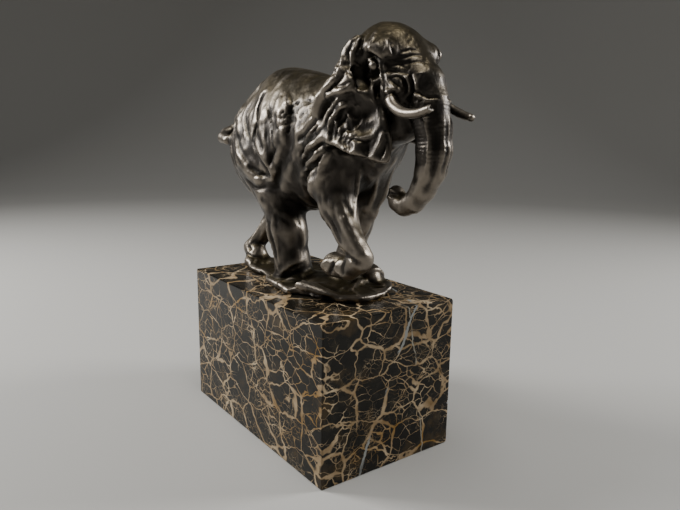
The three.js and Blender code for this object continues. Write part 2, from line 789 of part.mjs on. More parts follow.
function elephantGeometry() {
  const traced = relax(outerSkin(trace(casting, LATTICE, CELL)), SMOOTHING);
  const body = toSolid(toGeometry(thin(traced, CAST_TRIANGLES)));
  const tusks = TUSKS.map(({ side, line }) => {
    const rod = taperedRod(line.map(([x, y, z]) => [x, side * y, z]), TUSK_RADIUS);
    return toSolid(toGeometry(rod));
  });
  return fromSolid(tusks.reduce((whole, tusk) => whole.add(tusk), body));
}

const object = new THREE.Group();
object.add(named('marble_plinth', weld(plinthGeometry(PLINTH)), marble, 0));
object.add(named('elephant_bronze', elephantGeometry(), bronze, PLINTH.height));

export default object;
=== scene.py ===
from math import cos, pi, radians, sin

import bpy
import numpy as np
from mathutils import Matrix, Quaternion, Vector, noise
from mathutils.bvhtree import BVHTree


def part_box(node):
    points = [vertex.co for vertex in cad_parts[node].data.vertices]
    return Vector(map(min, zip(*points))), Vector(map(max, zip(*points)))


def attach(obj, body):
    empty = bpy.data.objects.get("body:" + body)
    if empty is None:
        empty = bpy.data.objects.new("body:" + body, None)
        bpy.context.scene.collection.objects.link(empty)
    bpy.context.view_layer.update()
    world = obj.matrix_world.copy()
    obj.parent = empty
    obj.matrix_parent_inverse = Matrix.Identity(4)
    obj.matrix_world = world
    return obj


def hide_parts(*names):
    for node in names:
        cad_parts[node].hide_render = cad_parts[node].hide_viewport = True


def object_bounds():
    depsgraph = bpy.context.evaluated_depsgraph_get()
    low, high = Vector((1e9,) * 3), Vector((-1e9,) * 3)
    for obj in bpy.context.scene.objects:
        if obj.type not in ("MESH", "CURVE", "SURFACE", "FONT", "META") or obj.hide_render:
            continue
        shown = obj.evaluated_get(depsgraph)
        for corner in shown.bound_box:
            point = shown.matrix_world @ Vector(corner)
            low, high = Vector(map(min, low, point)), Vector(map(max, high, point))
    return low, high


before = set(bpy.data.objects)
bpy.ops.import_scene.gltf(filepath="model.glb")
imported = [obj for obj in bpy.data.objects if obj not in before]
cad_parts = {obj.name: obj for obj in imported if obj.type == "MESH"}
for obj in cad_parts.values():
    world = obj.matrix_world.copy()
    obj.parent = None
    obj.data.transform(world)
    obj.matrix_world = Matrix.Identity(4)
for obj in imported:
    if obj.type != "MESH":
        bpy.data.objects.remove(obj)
cad_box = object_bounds()


# ---------- the elephant ----------
# One hollow bronze casting: a striding elephant with its tusks, and the strip of rough
# ground under its feet. It was modelled in wax by hand, cast, chased and patinated, and
# stands loose on the marble.

MM = 0.001
marble_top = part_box("marble_plinth")[1].z
SKIN_STEP = 1.36  # mm between the points of the skin before the fine places are divided
SKIN_EVENING = 8  # rounds of evening out, which take away the solid's facets
SHRINK, SWELL = 0.5, -0.52  # shares of the way to the neighbours' mean, in turn
UNDERSIDE = 0.3  # mm above the marble, under which the skin stays flat on it
# Boxes (lowest and highest corner, mm above the marble) where the skin is divided finer.
FINE_PLACES = [
    ((60, -45, 88), (140, 0, 172)),  # head and right ear
    ((86, 0, 104), (140, 45, 160)),  # the face's left side
]


def skin_of(piece):
    """The piece's points in mm above the marble, and the way out of the skin at each."""
    count = len(piece.data.vertices)
    points = np.empty(count * 3, np.float32)
    normals = np.empty(count * 3, np.float32)
    piece.data.vertices.foreach_get("co", points)
    piece.data.vertex_normals.foreach_get("vector", normals)
    points = points.reshape(-1, 3).astype(float)
    points[:, 2] -= marble_top
    return points / MM, normals.reshape(-1, 3).astype(float)


def set_skin(piece, points):
    """Puts the piece's points back from mm above the marble."""
    places = points * MM
    places[:, 2] += marble_top
    piece.data.vertices.foreach_set("co", places.ravel().astype(np.float32))
    piece.data.update()


def ring_mean(edges, values):
    """For each point, the mean of a value over the points that it shares an edge with."""
    total = np.zeros_like(values)
    np.add.at(total, edges[:, 0], values[edges[:, 1]])
    np.add.at(total, edges[:, 1], values[edges[:, 0]])
    count = np.bincount(edges.ravel(), minlength=len(values)).clip(1)
    return total / (count if values.ndim == 1 else count[:, None])


def edges_of(piece):
    """Each edge's two point numbers."""
    edges = np.empty(len(piece.data.edges) * 2, np.int32)
    piece.data.edges.foreach_get("vertices", edges)
    return edges.reshape(-1, 2)


def even_out(piece, rounds):
    """Shrinks and swells the skin in turn, which takes bumps away but keeps its size."""
    edges = edges_of(piece)
    points, _ = skin_of(piece)
    flat = points[:, 2] < UNDERSIDE
    for _ in range(rounds):
        for pull in (SHRINK, SWELL):
            moved = points + pull * (ring_mean(edges, points) - points)
            moved[flat] = points[flat]
            points = moved
    set_skin(piece, points)


def only(piece):
    """Makes the piece the only one selected, and the active one."""
    bpy.ops.object.select_all(action="DESELECT")
    piece.select_set(True)
    bpy.context.view_layer.objects.active = piece


def divide_inside(piece, boxes):
    """Divides the faces whose middle lies in one of the boxes."""
    only(piece)
    middles = np.empty(len(piece.data.polygons) * 3, np.float32)
    piece.data.polygons.foreach_get("center", middles)
    middles = middles.reshape(-1, 3) / MM - (0, 0, marble_top / MM)
    inside = np.zeros(len(middles), bool)
    for low, high in boxes:
        inside |= ((middles > low) & (middles < high)).all(1)
    piece.data.polygons.foreach_set("select", inside)
    bpy.ops.object.mode_set(mode="EDIT")
    bpy.ops.mesh.select_mode(type="FACE")
    bpy.ops.mesh.subdivide(number_cuts=1, smoothness=0)
    bpy.ops.object.mode_set(mode="OBJECT")


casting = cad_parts["elephant_bronze"].copy()
casting.data = casting.data.copy()
casting.name = "elephant_casting"
casting.parent = None
for key in list(casting.keys()):
    del casting[key]
bpy.context.scene.collection.objects.link(casting)
only(casting)
bpy.ops.object.mode_set(mode="EDIT")
bpy.ops.mesh.select_all(action="SELECT")
bpy.ops.mesh.remove_doubles(threshold=0.00001)
bpy.ops.object.mode_set(mode="OBJECT")
remesh = casting.modifiers.new("even skin", "REMESH")
remesh.mode = "VOXEL"
remesh.voxel_size = SKIN_STEP * MM
remesh.adaptivity = 0
bpy.ops.object.modifier_apply(modifier=remesh.name)
even_out(casting, SKIN_EVENING)
divide_inside(casting, FINE_PLACES)
even_out(casting, 2)


def smooth_line(points, step=0.7):
    """Points about a step apart on a smooth curve through the given ones."""
    knots = np.array(points, float)
    knots = np.vstack([2 * knots[0] - knots[1], knots, 2 * knots[-1] - knots[-2]])
    curve = []
    for a, b, c, d in zip(knots, knots[1:], knots[2:], knots[3:]):
        count = max(2, round(np.linalg.norm(c - b) / step))
        for t in np.arange(count) / count:
            curve.append(
                b + (c - a) * t / 2 + (a - 2.5 * b + 2 * c - d / 2) * t**2
                + (1.5 * b - a / 2 - 1.5 * c + d / 2) * t**3
            )
    return np.array([*curve, knots[-2]])


def nearest_on(path, points, reach):
    """The points within reach of a path: their numbers, the nearest step and the distance."""
    near = ((points > path.min(0) - reach) & (points < path.max(0) + reach)).all(1)
    near = np.flatnonzero(near)
    gaps = ((points[near, None] - path[None]) ** 2).sum(2)
    at = gaps.argmin(1)
    away = np.sqrt(gaps[np.arange(len(near)), at])
    close = away < reach
    return near[close], at[close], away[close]


# The round parts that a file has trued up: centre line (x, distance from the middle plane, z),
# radius at its start and end, and how far along it the truing starts.
RIGHT_TUSK = [(92, 14, 131), (96.5, 17.5, 125), (102, 19.6, 118.3), (111, 20.6, 114.3),
              (121, 20.4, 114), (129.5, 19.5, 116.2)]
LEFT_TUSK = [(92, 13, 131), (97, 16, 125), (103, 17.8, 119.6), (111, 17.6, 116),
             (118.5, 16, 113.8), (125.5, 14, 112.4)]
TUSK_RADIUS = (3.7, 2.0)
TRUED_REACH = 1.45  # radii from the centre line, within which the skin is brought to round
RIGHT_SOCKET = (0.2, 0.3)  # the tusk leaves the lip between these shares of its length
LEFT_SOCKET = (0.45, 0.7)
EYEBALL = [(86.6, 20.6, 139), (86.9, 20.7, 139)]
EYEBALL_RADIUS = (2.7, 2.7)
ALL_ALONG = (-2, -1)  # trued from its very start


def true_up(piece, line, side, radii, begins):
    """Brings the skin round a line to a true round rod that tapers along it."""
    points, _ = skin_of(piece)
    path = smooth_line([(x, side * y, z) for x, y, z in line], 0.3)
    near, at, away = nearest_on(path, points, radii[0] * TRUED_REACH)
    along = at / (len(path) - 1)
    radius = radii[0] + (radii[1] - radii[0]) * along
    grip = ((along - begins[0]) / (begins[1] - begins[0])).clip(0, 1)
    grip = grip * (away < TRUED_REACH * radius)
    out = (points[near] - path[at]) / away[:, None].clip(0.01)
    points[near] += (path[at] + out * radius[:, None] - points[near]) * grip[:, None]
    set_skin(piece, points)


# A stroke of the modelling tool: half-width and height in mm (below 0 it is a groove), how
# far one side hangs over (0 even; above 0 the side to the right of a walker on the skin who
# looks along the line, below 0 the left side), and the line that it follows.
EAR_FOLDS = [
    (1.8, 1.5, 0.5, [(78, -16, 158), (76, -24, 152), (74, -27, 146), (76, -27, 141), (80, -24, 140)]),
    (1.1, -1.7, 0.0, [(73, -15, 157), (78, -23, 150), (77, -25, 145)]),
    (1.7, 1.3, 0.3, [(80, -13, 158), (84, -21, 152), (82, -23, 147), (80, -23, 142)]),
    (1.0, -1.4, 0.0, [(83, -19, 154), (85, -23, 149), (82, -22, 145)]),
    (1.7, 1.3, 0.6, [(74, -24, 154), (69, -26, 151), (68, -28, 146), (71, -31, 139)]),
    (1.6, -2.0, 0.2, [(75, -25, 151), (73, -28, 146), (75, -29, 140)]),
    (1.7, 1.2, 0.5, [(71, -31, 139), (68, -33, 134), (62, -33, 128), (57, -34, 123)]),
    (1.1, -1.2, 0.0, [(76, -30, 137), (72, -32, 132), (66, -32, 128), (60, -33, 126)]),
    (0.8, -0.9, 0.0, [(79, -28, 132), (76, -32, 129), (70, -32, 128)]),
    (2.4, 2.0, -0.7, [(81, -28, 127), (74, -32, 126), (64, -33, 124), (57, -33, 121), (52, -34, 114)]),
    (1.5, -2.2, 0.0, [(65, -32, 121), (59, -33, 117), (54, -33, 111)]),
    (1.2, -1.9, 0.0, [(75, -30, 122), (71, -32, 120), (67, -33, 116), (62, -33, 111), (60, -33, 103)]),
    (2.3, 1.8, -0.6, [(78, -29, 121), (71, -31, 117), (65, -32, 111), (63, -33, 105), (64, -33, 98)]),
    (1.0, -1.2, 0.0, [(79, -29, 118), (73, -31, 112), (69, -32, 105), (69, -32, 99)]),
    (5.0, -2.4, 0.0, [(93, -22, 119), (85, -26, 114), (78, -29, 109)]),
    (4.0, -1.4, 0.0, [(90, -23, 108), (84, -27, 106), (79, -30, 106)]),
    (1.3, 1.3, 0.9, [(75, -31, 102), (80, -29, 102), (86, -26, 101), (92, -24, 103)]),
    (2.4, 1.5, 0.3, [(80, -29, 101), (82, -28, 97), (83, -28, 92)]),
    (1.4, -1.2, 0.0, [(76, -31, 100), (77, -31, 96)]),
    (2.2, 1.7, 0.5, [(97, -21, 105), (94, -22, 97), (91, -23, 91)]),
    (2.0, -1.5, 0.0, [(89, -25, 101), (88, -25, 96), (88, -25, 90)]),
    (1.2, -1.3, 0.0, [(98, -20, 101), (97, -21, 96), (96, -21, 90)]),
    (1.0, 1.3, 0.8, [(98, -19, 105), (99, -18, 97), (99, -19, 91)]),
    (1.2, 1.0, 0.6, [(66, -32, 98), (72, -32, 96), (79, -30, 94), (89, -26, 91), (98, -20, 89)]),
    (0.8, -1.0, 0.0, [(73, -32, 100), (74, -31, 105), (79, -29, 106)]),
    (0.8, 0.8, 0.0, [(75, -31, 100), (76, -30, 103), (80, -29, 104)]),
    (0.9, -1.1, 0.2, [(74, -30, 137), (78, -30, 134), (77, -27, 131)]),
]
FACE_FOLDS = [
    # the brow's fold, the hollow round the eye and the lids
    (1.8, 1.6, 0.8, [(81, -23, 146), (86, -23, 146), (90, -21, 145), (94, -18, 142)]),
    (1.4, 1.0, 0.0, [(84, -22, 151), (86, -23, 148), (89, -22, 149)]),
    (1.7, -1.5, 0.0, [(82, -22, 142), (79, -22, 139), (79, -22, 134), (82, -22, 130), (85, -21, 130)]),
    (1.2, -2.2, 0.0, [(82, -22, 143), (86, -22, 144), (90, -21, 142), (91, -20, 138)]),
    (1.4, -2.0, 0.0, [(84, -21, 134), (88, -20, 134), (91, -20, 136)]),
    (0.8, 1.1, 0.5, [(81, -21, 138), (84, -21, 141), (88, -22, 142), (91, -20, 139)]),
    (0.7, 0.9, 0.5, [(82, -20, 137), (85, -20, 135), (88, -20, 136), (91, -20, 138)]),
    (1.2, 1.6, 0.4, [(91, -21, 143), (91, -20, 138), (92, -20, 133), (94, -19, 129)]),
    (1.1, -2.4, 0.0, [(90, -20, 132), (89, -20, 127), (90, -20, 122)]),
    (0.8, -1.6, 0.0, [(94, -20, 130), (95, -20, 125), (94, -19, 122)]),
    (1.6, 1.1, 0.0, [(86, -21, 131), (86, -21, 126), (87, -20, 121)]),
    (1.0, 0.9, 0.3, [(93, -19, 141), (94, -18, 135), (97, -19, 130)]),
    # the forehead's creases
    (0.9, -1.0, 0.3, [(95, -17, 151), (96, -17, 148), (97, -17, 144)]),
    (1.3, 0.8, 0.0, [(93, -18, 152), (94, -18, 148), (94, -18, 144)]),
    (1.0, -0.6, 0.0, [(97, -12, 151), (98, -12, 147)]),
    (0.7, -0.6, 0.3, [(98, -13, 145), (99, -10, 146), (101, -7, 147), (103, -3, 146)]),
    (0.7, -0.45, 0.3, [(98, -13, 142), (101, -10, 143), (103, -7, 144), (105, -3, 143)]),
    (0.7, -0.45, 0.3, [(99, -13, 139), (103, -10, 140), (106, -6, 140), (108, -2, 139)]),
    (0.8, -0.6, 0.3, [(93, -19, 143), (95, -17, 142), (98, -14, 142)]),
    (0.7, -0.5, 0.3, [(95, -18, 138), (98, -14, 139), (101, -12, 138)]),
    # the cheek's swirl and the crease in front of it
    (1.0, 1.2, 0.5, [(97, -18, 133), (100, -15, 134), (104, -13, 132), (106, -12, 128), (105, -13, 124)]),
    (0.8, -1.3, 0.0, [(97, -18, 132), (100, -17, 129), (103, -15, 127), (102, -16, 130)]),
    (0.9, 1.1, 0.5, [(96, -19, 131), (99, -18, 127), (102, -17, 125), (103, -15, 128), (101, -15, 131)]),
    (0.8, -1.2, 0.0, [(101, -14, 133), (103, -13, 130), (104, -13, 126), (102, -14, 123)]),
    (0.9, -1.0, 0.2, [(92, -20, 135), (97, -18, 136), (101, -15, 135), (104, -13, 134)]),
    (1.1, -2.4, 0.2, [(105, -12, 134), (107, -12, 129), (107, -12, 125), (104, -13, 122)]),
    (1.1, 1.1, 0.2, [(107, -11, 133), (109, -11, 129), (108, -11, 124)]),
    # the lip round the tusk's socket, and the line from it across the trunk
    (1.3, 1.5, 0.6, [(93, -20, 127), (96, -20, 125), (99, -20, 125), (101, -17, 127), (103, -15, 126)]),
    (0.9, -1.6, 0.0, [(95, -20, 124), (99, -20, 122), (102, -17, 123)]),
    (0.7, -1.1, 0.5, [(107, -12, 126), (111, -10, 124), (115, -8, 122), (119, -3, 122)]),
    (0.9, 0.7, 0.0, [(108, -11, 124), (112, -10, 122), (117, -6, 120)]),
]
FLANK_FOLDS = [
    (1.9, -2.6, 0.3, [(-26, -26, 127), (-26, -28, 119), (-24, -32, 110), (-26, -32, 102), (-27, -33, 95)]),
    (3.6, 1.5, 0.0, [(-16, -27, 124), (-14, -32, 114), (-13, -34, 102)]),
    (1.0, -1.5, 0.2, [(-11, -30, 122), (-5, -31, 114), (0, -34, 105), (3, -34, 93)]),
    (0.8, -0.9, 0.0, [(-7, -31, 120), (-2, -33, 110), (0, -34, 102)]),
    (3.2, 1.3, 0.0, [(0, -28, 126), (6, -31, 116), (8, -33, 104)]),
    (2.8, 1.8, -0.5, [(4, -26, 128), (11, -28, 120), (13, -31, 111), (13, -32, 98)]),
    (1.8, -2.0, 0.0, [(6, -34, 94), (0, -34, 88), (-3, -34, 80)]),
    (1.1, -1.4, 0.3, [(-43, -24, 123), (-48, -27, 115), (-42, -29, 106), (-31, -32, 98)]),
    (2.2, 1.2, 0.0, [(-34, -26, 121), (-36, -29, 112), (-31, -32, 103)]),
    (2.0, 1.3, 0.4, [(-52, -22, 120), (-57, -24, 111), (-50, -29, 101)]),
    (1.4, -0.9, 0.0, [(-60, -20, 116), (-62, -24, 106), (-57, -28, 96)]),
    (2.8, 2.1, 0.7, [(-28, -32, 100), (-12, -34, 90), (-4, -34, 82), (-3, -32, 74)]),
    (0.8, -1.2, 0.0, [(-11, -34, 95), (-8, -34, 90)]),
    (3.2, 2.2, -0.5, [(-56, -30, 97), (-44, -33, 88), (-36, -35, 83), (-27, -34, 76), (-16, -32, 70)]),
    (1.6, -1.3, 0.0, [(-52, -31, 92), (-40, -34, 84), (-30, -33, 77)]),
    (0.9, -1.9, 0.0, [(-25, -32, 73), (-18, -31, 75), (-7, -31, 75)]),
    (1.5, -1.7, 0.0, [(-38, -33, 71), (-24, -32, 66), (-13, -31, 67)]),
    (1.2, -0.9, 0.0, [(-60, -26, 100), (-55, -29, 90), (-45, -32, 80)]),
    (1.6, 1.0, 0.3, [(-66, -22, 96), (-60, -27, 86), (-50, -31, 77)]),
    (2.0, -1.0, 0.0, [(10, -30, 92), (4, -30, 80), (-4, -28, 70)]),
]
ELBOW_STRAPS = [
    (2.8, 2.4, -0.6, [(68, -33, 132), (57, -33, 125), (51, -34, 116), (40, -31, 108), (28, -29, 101)]),
    (1.3, -2.8, 0.0, [(57, -34, 112), (51, -34, 106), (42, -33, 100), (32, -30, 95)]),
    (1.0, 1.9, -0.4, [(57, -33, 107), (46, -33, 102), (33, -30, 95), (26, -29, 90)]),
    (1.0, -2.2, 0.0, [(56, -33, 103), (47, -34, 99), (31, -29, 93)]),
    (1.9, 1.9, -0.6, [(61, -33, 101), (51, -34, 97), (38, -32, 92), (29, -29, 87)]),
    (1.2, -2.6, 0.0, [(55, -33, 95), (48, -34, 90), (33, -28, 85)]),
    (1.9, 2.0, -0.6, [(67, -33, 99), (57, -33, 94), (50, -33, 88), (31, -28, 81)]),
    (1.7, -2.8, 0.0, [(54, -33, 88), (46, -33, 83), (29, -26, 77)]),
    (2.6, 2.0, 0.3, [(69, -33, 98), (60, -31, 92), (56, -33, 86), (54, -33, 80), (52, -33, 73)]),
    (0.7, -1.2, 0.0, [(55, -34, 93), (59, -32, 95), (63, -30, 96)]),
    (0.7, -1.1, 0.0, [(54, -33, 84), (58, -32, 86)]),
]
LEG_FOLDS = [
    # the right foreleg: elbow, shin ridge, the arm's front edge and the folded foot
    (2.6, 1.7, 0.2, [(50, -32, 78), (44, -30, 71), (42, -27, 63)]),
    (3.4, 2.0, 0.4, [(62, -28, 62), (68, -26, 54), (75, -23, 45), (82, -20, 36)]),
    (1.6, -1.4, 0.0, [(56, -29, 60), (62, -28, 50), (69, -26, 40)]),
    (1.2, 1.6, 0.5, [(66, -13, 84), (64, -13, 76), (63, -13, 68), (69, -18, 57)]),
    (1.6, -1.0, 0.0, [(60, -18, 82), (58, -18, 72), (60, -22, 62)]),
    (1.1, -1.6, 0.2, [(70, -27, 35), (76, -26, 33), (82, -23, 31)]),
    (1.6, 1.5, 0.0, [(44, -23, 20), (48, -25, 25), (53, -24, 29)]),
    (1.0, -1.9, 0.0, [(53, -25, 19), (56, -25, 24), (58, -24, 29)]),
    (1.5, 1.3, 0.0, [(60, -25, 21), (61, -25, 27), (63, -23, 30)]),
    (1.0, -1.7, 0.0, [(67, -25, 22), (67, -25, 27), (69, -24, 31)]),
    # the left foreleg's front edges
    (1.2, 1.4, 0.3, [(63, 3, 78), (57, 6, 68), (51, 7, 58)]),
    (1.4, 1.2, 0.2, [(66, 15, 86), (59, 16, 74), (52, 15, 60), (46, 14, 43)]),
    # tendons at the back of the right hind leg, and its toes
    (1.1, 1.5, 0.2, [(-17, -26, 47), (-14, -27, 34), (-10, -26, 22), (-5, -26, 10)]),
    (1.0, -1.4, 0.0, [(-12, -28, 44), (-10, -28, 32), (-7, -27, 20)]),
    (1.0, 1.3, 0.2, [(-7, -28, 40), (-6, -27, 30), (-4, -26, 16)]),
    (1.3, 1.5, 0.6, [(-4, -26, 8), (0, -23, 12), (4, -19, 16), (6, -14, 18)]),
    (1.2, -1.6, 0.0, [(0, -25, 6), (5, -20, 9), (8, -14, 13)]),
    (1.2, 1.2, 0.4, [(7, -13, 7), (8, -8, 10), (7, -3, 14)]),
    # the left hind foot
    (1.4, 1.2, 0.4, [(-68, -2, 32), (-74, -8, 22), (-77, -12, 14)]),
    (1.0, -1.7, 0.0, [(-76, -12, 17), (-73, -14, 15), (-69, -14, 15)]),
    (1.0, -1.6, 0.0, [(-74, -13, 9), (-66, -13, 8), (-60, -8, 8)]),
    (1.6, 1.2, 0.0, [(-74, -15, 5), (-66, -16, 5), (-60, -14, 5)]),
]
GROUND_FOLDS = [
    (1.0, 1.2, 0.6, [(-23, -28, 3), (-8, -30, 3), (6, -31, 3), (17, -32, 3)]),
    (1.2, 1.3, 0.5, [(-1, -31, 3), (3, -25, 6), (8, -18, 7)]),
    (1.0, -1.2, 0.0, [(-18, -25, 5), (-6, -27, 5), (0, -23, 7)]),
    (1.0, 1.2, 0.5, [(18, -30, 4), (24, -28, 8), (31, -28, 11)]),
    (0.9, 1.0, 0.6, [(32, -28, 11), (44, -24, 8), (52, -17, 5), (59, -7, 3)]),
    (1.2, -1.0, 0.2, [(30, -20, 9), (40, -15, 8), (50, -8, 5)]),
    (1.8, 1.5, 0.4, [(50, -6, 5), (43, 6, 6), (39, 18, 9), (45, 26, 5)]),
    (1.6, 1.6, 0.3, [(34, 12, 8), (37, 22, 13), (37, 30, 11), (37, 36, 5)]),
    (1.4, -1.2, 0.0, [(44, 12, 6), (48, 18, 5), (52, 22, 3)]),
]
LEFT_SHARE = 0.8  # the left side's strokes are this much of the right side's
WANDER = 0.2  # half-widths that a stroke strays from its line
STEEPER, GENTLER = 0.5, 1.3  # how a full hang narrows the hanging side and widens the other
UNDERCUT = (0.45, 1.1, 0.5)  # the groove under a hanging side: depth, place and half-width


def stroke(points, normals, width, height, lean, line):
    """How far one stroke of the tool moves the skin: the points it meets, and mm at each."""
    path = smooth_line(line)
    near, at, _ = nearest_on(path, points, 3 * width + 1)
    if not len(near):
        return near, np.zeros(0)
    places = path[:: max(1, len(path) // 6)]
    under = [((points[near] - place) ** 2).sum(1).argmin() for place in places]
    out = normals[near[under]].mean(0)
    outs = normals[near] * 0.5 + out
    outs /= np.linalg.norm(outs, axis=1)[:, None].clip(1e-6)
    tangent = np.gradient(path, axis=0)
    tangent /= np.linalg.norm(tangent, axis=1)[:, None].clip(1e-6)
    across = np.cross(tangent[at], outs)
    across /= np.linalg.norm(across, axis=1)[:, None].clip(1e-6)
    offset = points[near] - path[at]
    firmness = noise.noise(Vector(path[0] * 0.37))
    drift = np.array([noise.noise(Vector(place * 0.23)) for place in path])[at]
    aside = (offset * across).sum(1) / width + WANDER * drift
    beyond = (offset * tangent[at]).sum(1) / width
    facing = (normals[near] * outs).sum(1).clip(0, 1) ** 2
    hang = abs(lean)
    aside = aside if lean >= 0 else -aside
    slope = np.where(aside > 0, 1 - STEEPER * hang, 1 + GENTLER * hang)
    depth, place, half_width = UNDERCUT
    groove = depth * hang * np.exp(-(((aside - place) / half_width) ** 2))
    rise = (np.exp(-((aside / slope) ** 2)) - groove) * np.exp(-(beyond**2))
    ends = np.sin(pi * (at + 0.5) / len(path)) ** 0.6
    return near, height * (1 + 0.25 * drift + 0.2 * firmness) * rise * ends * facing


def carve(piece, strokes, sides=(-1, 1)):
    """Works a group of strokes into the skin, on the right side and, mirrored, on the left."""
    points, normals = skin_of(piece)
    shift = np.zeros(len(points))
    for side in sides:
        share = 1 if side < 0 else LEFT_SHARE
        for width, height, lean, line in strokes:
            mirrored = [(x, -side * y, z) for x, y, z in line]
            turned = lean if side < 0 else -lean
            near, moved = stroke(points, normals, width, height, turned, mirrored)
            shift[near] += share * moved
    set_skin(piece, points + normals * shift[:, None])


# Loose marks of the modelling tool, many to each place: the place's lowest and highest
# corner, how many marks, and their least and most half-width, length and height in mm.
TOOL_MARKS = [
    ((-100, -45, 20), (80, 45, 150), 520, (1.6, 3.2), (8, 20), 0.6),  # body and legs
    ((-80, -45, 20), (60, 45, 120), 260, (0.7, 1.4), (4, 10), 0.45),
    ((40, -45, 85), (82, 45, 150), 150, (0.6, 1.2), (3, 9), 0.55),  # ears and neck
    ((84, -30, 118), (112, 30, 156), 90, (0.5, 0.9), (2.5, 6), 0.35),  # face
    ((-90, -45, -1), (75, 45, 15), 200, (0.9, 2.0), (4, 12), 0.7),  # ground and feet
    ((8, -36, 106), (34, -20, 123), 70, (0.5, 0.9), (0.8, 1.8), -0.9),  # pits in the flank
    ((99, -16, 116), (114, -8, 122), 34, (0.35, 0.6), (0.6, 1.2), -0.7),  # and by the lip
    ((7, -35, 95), (16, -28, 109), 5, (0.8, 1.1), (1, 1.6), -1.6),
]
DOWN = (0.3, 0.0, -1.0)  # the way that the tool mostly ran, and on the level places:
ALONG_BACK = (-1, 0, 0)
SWING = (0.035, 2.0)  # how fast its way swings over the body (per mm) and how far (radians)
MARK_SEED = 11


def flow(places, outs):
    """Which way the modeller's tool ran: mostly down the body, and swinging from it."""
    along = np.tile(DOWN, (len(places), 1))
    along[outs[:, 2] > 0.85] = ALONG_BACK
    pace, most = SWING
    swing = np.array([noise.noise(Vector(place * pace)) for place in places]) * most
    along -= (along * outs).sum(1)[:, None] * outs
    along /= np.linalg.norm(along, axis=1)[:, None].clip(1e-6)
    return along * np.cos(swing)[:, None] + np.cross(outs, along) * np.sin(swing)[:, None]


def work_over(piece, places, rng):
    """Covers places of the skin with loose marks that follow the body's flow."""
    for low, high, count, widths, lengths, height in places:
        points, normals = skin_of(piece)
        inside = np.flatnonzero(((points > low) & (points < high)).all(1))
        chosen = rng.choice(inside, count)
        alongs = flow(points[chosen], normals[chosen])
        shift = np.zeros(len(points))
        for spot, along in zip(chosen, alongs):
            width, length = rng.uniform(*widths), rng.uniform(*lengths)
            turn = rng.normal(0, 0.35)
            along = along * cos(turn) + np.cross(normals[spot], along) * sin(turn)
            rise = abs(height) * rng.uniform(0.5, 1.0)
            rise = -rise if height < 0 or rng.random() < 0.55 else rise
            middle = points[spot] - 0.02 * length * normals[spot]
            line = [middle - along * length / 2, points[spot], middle + along * length / 2]
            near, moved = stroke(points, normals, width, rise, rng.uniform(-0.8, 0.8), line)
            shift[near] += moved
        set_skin(piece, points + normals * shift[:, None])


# The unevenness of wax pressed on by hand: lump size and height in mm.
LUMPS = [(14, 0.5), (5, 0.1)]
TRUNK = [(92, 0, 140), (102, 0, 129), (108, 0, 119), (111.5, 0, 108), (113, 0, 95),
         (111, 0, 84), (106.5, 0, 74.5), (99.5, 0, 66.5), (92, 0, 63.6), (86, 0, 65.5), (84, 0, 70)]
TRUNK_REACH = 15  # mm from the trunk's centre line that the rings are cut within
RING_STEP = 1.9  # mm from one ring of the trunk to the next
RING_DEPTH = 0.26
RINGS_BEGIN = (22, 12)  # mm down the trunk: where they start, and how long they take to deepen
CALM = 0.6  # the share of the lumps that the head and the trunk go without
# Long edges down the trunk, which part its front, its sides and its back.
TRUNK_EDGES = [
    (1.3, 1.0, 0.5, [(113, -10, 116), (117, -9.5, 106), (118, -9, 96), (116.5, -8, 86), (113, -6, 77)]),
    (1.6, -0.7, 0.0, [(119, -6, 114), (121, -6, 104), (121, -6, 94), (119, -5, 84), (115, -4, 75)]),
    (1.3, 0.8, -0.4, [(121, -2, 113), (122.5, -2, 103), (122, -2, 93), (119.5, -2, 82), (115, -2, 74)]),
]
# The lips and nostrils at the trunk's tip.
TIP_FOLDS = [
    (0.9, -1.5, 0.0, [(84, -1.5, 75), (82, -3, 73), (81, -3, 69)]),
    (0.8, 1.1, 0.4, [(88, -4, 73), (85, -5, 74), (81, -4, 73)]),
    (0.8, -1.1, 0.0, [(90, -5, 70), (86, -6, 71), (82, -5, 70)]),
    (0.9, 1.0, 0.0, [(88, -6, 67), (84, -6, 68), (80, -4, 68)]),
]


def press_lumps(piece):
    """Adds the wax's unevenness, less of it on the trunk and the head."""
    points, normals = skin_of(piece)
    shift = np.zeros(len(points))
    for size, height in LUMPS:
        shift += height * np.array([noise.noise(Vector(p)) for p in (points / size).tolist()])
    calm = ((points[:, 0] - 70) / 20).clip(0, 1) * CALM
    set_skin(piece, points + normals * (shift * (1 - calm))[:, None])


def ring_trunk(piece):
    """Cuts the trunk's fine rings, which wander and die out here and there."""
    points, normals = skin_of(piece)
    path = smooth_line(TRUNK, 0.5)
    near, at, _ = nearest_on(path, points, TRUNK_REACH)
    steps = np.linalg.norm(np.diff(path, axis=0), axis=1)
    along = np.concatenate([[0], np.cumsum(steps)])[at]
    spots = points[near]
    wander = np.array([noise.noise(Vector(p)) for p in (spots / 6).tolist()])
    patchy = np.array([noise.noise(Vector(p)) for p in (spots / 9 + 40).tolist()])
    ring = (0.5 + 0.5 * np.sin(2 * pi * along / RING_STEP + 2.2 * wander)) ** 3
    start, run = RINGS_BEGIN
    share = (0.7 + 0.8 * patchy).clip(0, 1) * ((along - start) / run).clip(0, 1)
    points[near] -= normals[near] * (RING_DEPTH * ring * share)[:, None]
    set_skin(piece, points)


